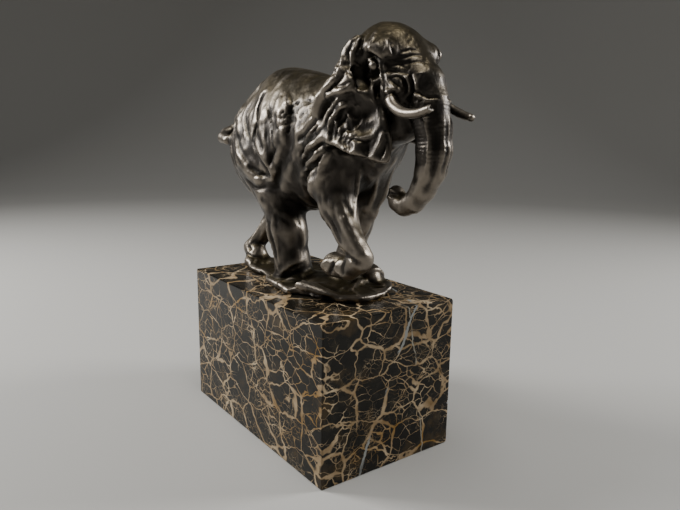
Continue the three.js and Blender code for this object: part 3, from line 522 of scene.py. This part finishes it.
press_lumps(casting)
work_over(casting, TOOL_MARKS, np.random.default_rng(MARK_SEED))
for strokes in (FLANK_FOLDS, EAR_FOLDS, ELBOW_STRAPS, FACE_FOLDS):
    carve(casting, strokes)
for strokes in (LEG_FOLDS, GROUND_FOLDS, TIP_FOLDS):
    carve(casting, strokes, sides=(-1,))
carve(casting, TRUNK_EDGES)
ring_trunk(casting)
true_up(casting, RIGHT_TUSK, -1, TUSK_RADIUS, RIGHT_SOCKET)
true_up(casting, LEFT_TUSK, 1, TUSK_RADIUS, LEFT_SOCKET)
for side in (-1, 1):
    true_up(casting, EYEBALL, side, EYEBALL_RADIUS, ALL_ALONG)

only(casting)
bpy.ops.object.shade_smooth()


SHELTER_RAYS = 7  # ways out of the skin that are looked along for cover
SHELTER_REACH = 14  # mm
SHELTER_TILT = radians(48)  # of the rays from the way straight out
WEAR_ROUNDS = 10  # of evening, which give the skin that worn places stand out from
FULLY_WORN = 0.55  # mm that a place stands out when it is rubbed bright


def store(piece, name, values):
    """Keeps one number for each point of the skin, for the patina to follow."""
    layer = piece.data.attributes.new(name, "FLOAT", "POINT")
    layer.data.foreach_set("value", values.astype(np.float32))


def note_wear(piece):
    """Marks the places that hands rub bright, and those that other parts of the skin hang over, for
    painted shade.
    """
    points, normals = skin_of(piece)
    edges = edges_of(piece)
    wide = points
    for _ in range(WEAR_ROUNDS):
        wide = ring_mean(edges, wide)
    bulge = ((points - wide) * normals).sum(1)
    worn = (bulge / FULLY_WORN).clip(-1, 1)
    tree = BVHTree.FromObject(piece, bpy.context.evaluated_depsgraph_get())
    places = points * MM + np.array((0, 0, marble_top))
    side = np.cross(normals, (0.31, 0.52, 0.79))
    side /= np.linalg.norm(side, axis=1)[:, None].clip(1e-6)
    other = np.cross(normals, side)
    covered = np.zeros(len(points))
    for i in range(SHELTER_RAYS):
        turn = 2 * pi * i / (SHELTER_RAYS - 1)
        tilt = 0 if i == SHELTER_RAYS - 1 else SHELTER_TILT
        ways = normals * cos(tilt) + (side * cos(turn) + other * sin(turn)) * sin(tilt)
        starts = places + normals * 0.3 * MM
        reach = SHELTER_REACH * MM
        for k, (start, way) in enumerate(zip(starts.tolist(), ways.tolist())):
            hit = tree.ray_cast(start, way, reach)[3]
            if hit is not None:
                covered[k] += 1 - 0.5 * hit / reach
    # painted shade: the share of rays that meet the skin again, which darkens the patina like shadow
    occlusion_shade = covered / SHELTER_RAYS
    for _ in range(2):
        occlusion_shade = ring_mean(edges, occlusion_shade)
    store(piece, "worn", ring_mean(edges, worn) * 0.5 + worn * 0.5)
    store(piece, "occlusion_shade", occlusion_shade)


note_wear(casting)


def linear(colour):
    """An sRGB hex colour as linear red, green, blue and alpha."""
    channels = [int(colour[i : i + 2], 16) / 255 for i in (1, 3, 5)]
    return (*(c / 12.92 if c <= 0.04045 else ((c + 0.055) / 1.055) ** 2.4 for c in channels), 1)


def add_node(tree, kind, inputs=None, stops=None, **settings):
    """Adds a node with its settings, its inputs' values or links, and a ramp's stops."""
    made = tree.nodes.new("ShaderNode" + kind)
    for name, value in settings.items():
        setattr(made, name, value)
    for socket, value in (inputs or {}).items():
        if isinstance(value, bpy.types.NodeSocket):
            tree.links.new(value, made.inputs[socket])
        elif isinstance(value, str):
            made.inputs[socket].default_value = linear(value)
        else:
            made.inputs[socket].default_value = value
    if stops:
        ramp = made.color_ramp.elements
        while len(ramp) < len(stops):
            ramp.new(0.5)
        for element, (place, colour) in zip(ramp, stops):
            element.position = place
            element.color = linear(colour)
    return made


def patinated_bronze():
    """Cast bronze under a brushed-on dark brown patina and wax: near black in its hollows, and near
    black as painted shade under other parts; a cool brown on the open skin; and olive where the
    skin looks up, lighter there as painted top light."""
    material = bpy.data.materials.new("bronze, dark brown patina, waxed")
    material.use_nodes = True
    tree = material.node_tree
    shader = tree.nodes["Principled BSDF"]
    place = add_node(tree, "TexCoord").outputs["Object"]
    worn = add_node(tree, "Attribute", attribute_name="worn").outputs["Fac"]
    occlusion_shade = add_node(tree, "Attribute", attribute_name="occlusion_shade").outputs["Fac"]
    up = add_node(
        tree, "SeparateXYZ", {0: add_node(tree, "NewGeometry").outputs["Normal"]}
    ).outputs["Z"]
    cloud = add_node(tree, "TexNoise", {"Vector": place, "Scale": 1 / (17 * MM), "Detail": 5})
    speck = add_node(tree, "TexNoise", {"Vector": place, "Scale": 1 / (2.2 * MM), "Detail": 4})
    patina = add_node(
        tree,
        "ValToRGB",
        {"Fac": cloud.outputs["Fac"]},
        [(0.3, "#2f2d2a"), (0.5, "#3e3a36"), (0.7, "#4b4641")],
    )
    # the olive-gold tops: where the skin looks up it turns olive, and lighter as painted top light, broken
    # up by the cloud
    painted_top_light = add_node(tree, "MapRange", {0: up, 1: 0.25, 2: 0.95}).outputs[0]
    top_light_and_rub = add_node(tree, "Math", {0: painted_top_light, 1: cloud.outputs["Fac"]}, operation="MULTIPLY")
    # painted top light: up-facing skin is mixed towards a lighter olive
    warm = add_node(
        tree,
        "MixRGB",
        {"Fac": top_light_and_rub.outputs[0], "Color1": patina.outputs["Color"], "Color2": "#6a5d3c"},
    )
    edge = add_node(tree, "MapRange", {0: worn, 1: 0.15, 2: 0.9, 4: 0.75}).outputs[0]
    bright = add_node(
        tree,
        "MixRGB",
        {"Fac": edge, "Color1": warm.outputs["Color"], "Color2": "#8f867a"},
    )
    pit = add_node(tree, "MapRange", {0: worn, 1: -0.1, 2: -0.8, 4: 0.7}).outputs[0]
    # painted shade: places that other parts of the skin hang over go towards near black, as the patina's
    # hollows do
    painted_shade = add_node(tree, "MapRange", {0: occlusion_shade, 1: 0.12, 2: 0.62, 4: 0.95}).outputs[0]
    dark = add_node(tree, "Math", {0: pit, 1: painted_shade}, operation="MAXIMUM").outputs[0]
    colour = add_node(
        tree,
        "MixRGB",
        {"Fac": dark, "Color1": bright.outputs["Color"], "Color2": "#100f0b"},
    )
    tree.links.new(colour.outputs["Color"], shader.inputs["Base Color"])
    rough = add_node(tree, "MapRange", {0: speck.outputs["Fac"], 1: 0.3, 2: 0.7, 3: 0.34, 4: 0.46})
    dull = add_node(tree, "Math", {0: dark, 1: 0.25, 2: rough.outputs[0]}, operation="MULTIPLY_ADD")
    tree.links.new(dull.outputs[0], shader.inputs["Roughness"])
    grain = add_node(tree, "TexNoise", {"Vector": place, "Scale": 1 / (0.8 * MM), "Detail": 3})
    brush = add_node(tree, "Mapping", {"Vector": place, "Scale": (1.0, 1.0, 0.25)})
    streak = add_node(
        tree, "TexNoise", {"Vector": brush.outputs[0], "Scale": 1 / (1.6 * MM), "Detail": 2}
    )
    coarse = add_node(
        tree,
        "Bump",
        {"Height": streak.outputs["Fac"], "Strength": 0.45, "Distance": 0.35 * MM},
    )
    fine = add_node(
        tree,
        "Bump",
        {"Height": grain.outputs["Fac"], "Strength": 0.35, "Distance": 0.2 * MM,
         "Normal": coarse.outputs["Normal"]},
    )
    tree.links.new(fine.outputs["Normal"], shader.inputs["Normal"])
    shader.inputs["Metallic"].default_value = 1
    return material


casting.data.materials.clear()
casting.data.materials.append(patinated_bronze())
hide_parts("elephant_bronze")
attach(casting, "root")


# ---------- the marble block ----------
# A sawn and polished block of near-black marble, netted with tan and gold veins. Its fine
# arrises were eased by hand, and have chipped at the corners since.

ARRIS = 0.7  # mm, the width of the eased edges
# Small chips out of the edges: place as a share of the block (-1 to 1 each way) and size in mm.
CHIPS = [
    ((1, 1, 1), 2.2),
    ((1, 1, -1), 2.6),
    ((1, -1, -1), 2.0),
    ((1, 0.985, -0.42), 1.5),
    ((0.2, -1, -1), 1.4),
    ((1, 0.1, 1), 1.2),
    ((-1, -1, 1), 1.8),
]

low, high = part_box("marble_plinth")
half = (high - low) / 2
centre = (low + high) / 2
bpy.ops.object.select_all(action="DESELECT")
bpy.ops.mesh.primitive_cube_add(size=2)
block = bpy.context.active_object
block.name = "marble_block"
bpy.ops.object.mode_set(mode="EDIT")
bpy.ops.mesh.select_all(action="SELECT")
bpy.ops.transform.resize(value=half)
bpy.ops.transform.translate(value=centre)
bpy.ops.mesh.bevel(offset=ARRIS * MM, segments=2, affect="EDGES")
bpy.ops.object.mode_set(mode="OBJECT")
for number, (share, size) in enumerate(CHIPS):
    spot = centre + Vector(s * h for s, h in zip(share, half))
    outward = Vector(round(s) for s in share).normalized()
    bpy.ops.object.select_all(action="DESELECT")
    bpy.ops.mesh.primitive_ico_sphere_add(subdivisions=2, radius=size * MM)
    chip = bpy.context.active_object
    bpy.ops.object.mode_set(mode="EDIT")
    bpy.ops.transform.vertex_random(offset=0.12 * size * MM, seed=number)
    bpy.ops.transform.translate(value=spot + outward * 0.45 * size * MM)
    bpy.ops.object.mode_set(mode="OBJECT")
    bite = block.modifiers.new("chip", "BOOLEAN")
    bite.operation = "DIFFERENCE"
    bite.solver = "EXACT"
    bite.object = chip
    only(block)
    bpy.ops.object.modifier_apply(modifier=bite.name)
    bpy.data.objects.remove(chip)


# Healed cracks: flat sheets of white calcite through the block, by the way that they face,
# how far they lie from the origin along it, half their thickness (both mm) and their colour.
CRACKS = [
    ((0.15, 0.975, 0.16), 41.0, 0.45, "#8f8a7c"),
    ((0.35, 0.86, -0.37), 8.0, 0.8, "#8b8d8a"),
]


def veined_marble():
    """Polished near-black marble: a net of tan calcite veins, thick and thin, with gold and
    rust clouds where iron has stained them and a few long straight cracks healed white."""
    material = bpy.data.materials.new("marble, near black with gold veins, polished")
    material.use_nodes = True
    tree = material.node_tree
    shader = tree.nodes["Principled BSDF"]
    place = add_node(tree, "TexCoord").outputs["Object"]

    def math(operation, first, second=0.0, third=0.0):
        return add_node(tree, "Math", {0: first, 1: second, 2: third}, operation=operation).outputs[0]

    def bent(vector, size, amount):
        """Drags a pattern about by amount mm, in swirls of a size in mm."""
        swirl = add_node(tree, "TexNoise", {"Vector": vector, "Scale": 1 / (size * MM), "Detail": 3})
        shift = add_node(
            tree,
            "VectorMath",
            {0: swirl.outputs["Color"], 1: (0.5, 0.5, 0.5)},
            operation="SUBTRACT",
        )
        scaled = add_node(
            tree,
            "VectorMath",
            {0: shift.outputs[0], 1: (amount * MM,) * 3},
            operation="MULTIPLY",
        )
        return add_node(tree, "VectorMath", {0: vector, 1: scaled.outputs[0]}).outputs[0]

    def net(vector, size, thick, stretch):
        """A net of veins with cells of a size, where thick is the veins' half-width: both mm."""
        turned = add_node(
            tree,
            "Mapping",
            {"Vector": vector, "Rotation": (0.35, 0.5, 0.3), "Scale": stretch},
        )
        cells = add_node(
            tree,
            "TexVoronoi",
            {"Vector": turned.outputs[0], "Scale": 1 / (size * MM)},
            feature="DISTANCE_TO_EDGE",
        )
        width = math("MULTIPLY", thick, 1 / size)
        faded = math("DIVIDE", cells.outputs["Distance"], width)
        return math("SUBTRACT", 1.0, math("MINIMUM", faded, 1.0))

    def patches(size, start, end, seed):
        """Soft clouds of a size in mm, from none to full between two noise levels."""
        moved = add_node(tree, "Mapping", {"Vector": place, "Location": (seed, seed, 0)})
        cloud = add_node(
            tree, "TexNoise", {"Vector": moved.outputs[0], "Scale": 1 / (size * MM), "Detail": 4}
        )
        return add_node(tree, "MapRange", {0: cloud.outputs["Fac"], 1: start, 2: end}).outputs[0]

    loose = bent(bent(place, 26, 16), 5, 2.6)
    tight = bent(bent(place, 17, 9), 3, 1.8)
    swell = math("MULTIPLY_ADD", patches(24, 0.42, 0.68, 0.3), 1.5, 0.45)
    thin = math("MULTIPLY_ADD", patches(12, 0.4, 0.7, 0.7), 0.75, 0.12)
    big = net(loose, 25, swell, (1.0, 1.0, 1.45))
    small = math("MULTIPLY", net(tight, 10.5, thin, (1.0, 1.0, 1.5)), patches(30, 0.42, 0.56, 1.1))
    hair = math("MULTIPLY", net(tight, 5.0, 0.16, (1.2, 1.0, 1.6)), patches(20, 0.5, 0.62, 1.9))
    veins = math("MAXIMUM", math("MAXIMUM", big, small), math("MULTIPLY", hair, 0.6))
    stone = add_node(
        tree,
        "ValToRGB",
        {"Fac": patches(9, 0.3, 0.75, 2.3)},
        [(0.0, "#0d0c09"), (0.55, "#16140f"), (1.0, "#2c281f")],
    )
    calcite = add_node(
        tree,
        "ValToRGB",
        {"Fac": patches(14, 0.3, 0.7, 3.1)},
        [(0.0, "#77603f"), (0.5, "#9a8465"), (1.0, "#bda98a")],
    )
    golden = add_node(
        tree,
        "MixRGB",
        {"Fac": patches(33, 0.56, 0.68, 4.7), "Color1": calcite.outputs[0], "Color2": "#86642c"},
    )
    clouded = add_node(
        tree,
        "MixRGB",
        {
            "Fac": math("MULTIPLY", patches(16, 0.55, 0.78, 5.3), 0.55),
            "Color1": stone.outputs[0],
            "Color2": "#5d4a2c",
        },
    )
    netted = add_node(
        tree,
        "MixRGB",
        {
            "Fac": add_node(tree, "MapRange", {0: veins, 1: 0.05, 2: 0.55}).outputs[0],
            "Color1": clouded.outputs[0],
            "Color2": golden.outputs[0],
        },
    )
    cracked = netted
    for facing, away, width, colour in CRACKS:
        flat = add_node(tree, "VectorMath", {0: tight, 1: facing}, operation="DOT_PRODUCT")
        off = math("ABSOLUTE", math("SUBTRACT", flat.outputs["Value"], away * MM))
        sheet = math("LESS_THAN", off, width * MM)
        cracked = add_node(
            tree,
            "MixRGB",
            {
                "Fac": math("MULTIPLY", sheet, patches(22, 0.44, 0.52, 6.1 + width)),
                "Color1": cracked.outputs[0],
                "Color2": colour,
            },
        )
    tree.links.new(cracked.outputs[0], shader.inputs["Base Color"])
    shader.inputs["Roughness"].default_value = 0.24
    shader.inputs["Specular IOR Level"].default_value = 0.25
    return material


block.data.materials.append(veined_marble())
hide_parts("marble_plinth")
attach(block, "root")


# ---------- the studio ----------
# A pale floor that turns up into a backdrop all round, three soft lights and the camera.

FLOOR_RADIUS = 1.5
BEND_RADIUS = 1.1  # of the curve from the floor up into the backdrop
BEND_STEPS = 10

low, high = cad_box
middle = (Vector(low) + Vector(high)) / 2
floor_material = bpy.data.materials.new("pale floor")
floor_material.use_nodes = True
floor_shader = floor_material.node_tree.nodes["Principled BSDF"]
floor_shader.inputs["Base Color"].default_value = linear("#aaa8a3")
floor_shader.inputs["Roughness"].default_value = 0.9
bpy.ops.object.select_all(action="DESELECT")
bpy.ops.mesh.primitive_circle_add(
    vertices=96, radius=FLOOR_RADIUS, fill_type="NGON", location=(0, 0, low.z)
)
floor = bpy.context.active_object
floor.name = "floor"
bpy.ops.object.mode_set(mode="EDIT")
bpy.ops.mesh.select_mode(type="EDGE")
bpy.ops.mesh.select_all(action="SELECT")
reach, rise = FLOOR_RADIUS, 0.0
for step in range(1, BEND_STEPS + 1):
    turn = radians(90) * step / BEND_STEPS
    next_reach = FLOOR_RADIUS + BEND_RADIUS * sin(turn)
    next_rise = BEND_RADIUS * (1 - cos(turn))
    bpy.ops.mesh.extrude_edges_move(TRANSFORM_OT_translate={"value": (0, 0, next_rise - rise)})
    bpy.ops.transform.resize(value=(next_reach / reach, next_reach / reach, 1))
    reach, rise = next_reach, next_rise
bpy.ops.object.mode_set(mode="OBJECT")
bpy.ops.object.shade_smooth()
floor.data.materials.append(floor_material)

world = bpy.data.worlds.new("studio")
bpy.context.scene.world = world
world.use_nodes = True
world.node_tree.nodes["Background"].inputs["Color"].default_value = linear("#c9c9c6")
world.node_tree.nodes["Background"].inputs["Strength"].default_value = 0.1


def soft_light(name, place, size, power, target):
    """A square studio light that shines from a place towards a target."""
    lamp = bpy.data.lights.new(name, "AREA")
    lamp.size = size
    lamp.energy = power
    light = bpy.data.objects.new(name, lamp)
    light.location = place
    light.rotation_euler = (Vector(target) - Vector(place)).to_track_quat("-Z", "Y").to_euler()
    bpy.context.scene.collection.objects.link(light)


soft_light("overhead light", middle + Vector((0.15, -0.1, 0.95)), 0.35, 5, middle)
soft_light("left light", middle + Vector((-0.8, -0.7, 0.6)), 0.4, 20, middle)
soft_light("right light", middle + Vector((0.5, 1.0, 0.45)), 0.35, 13, middle)

LENS = 32.82  # mm, on a frame 36 mm wide
CAMERA_PLACE = Vector((352.3, -235.9, 205.5)) * MM
CAMERA_TARGET = Vector((12.4, 13.3, 120.3)) * MM
CAMERA_ROLL = radians(0.79)
camera = bpy.data.objects.new("camera", bpy.data.cameras.new("camera"))
camera.data.lens = LENS
camera.data.sensor_width = 36
camera.data.clip_start = 0.01
camera.location = CAMERA_PLACE
look = (CAMERA_TARGET - CAMERA_PLACE).to_track_quat("-Z", "Y")
camera.rotation_euler = (look @ Quaternion((0, 0, 1), CAMERA_ROLL)).to_euler()
bpy.context.scene.collection.objects.link(camera)
bpy.context.scene.camera = camera
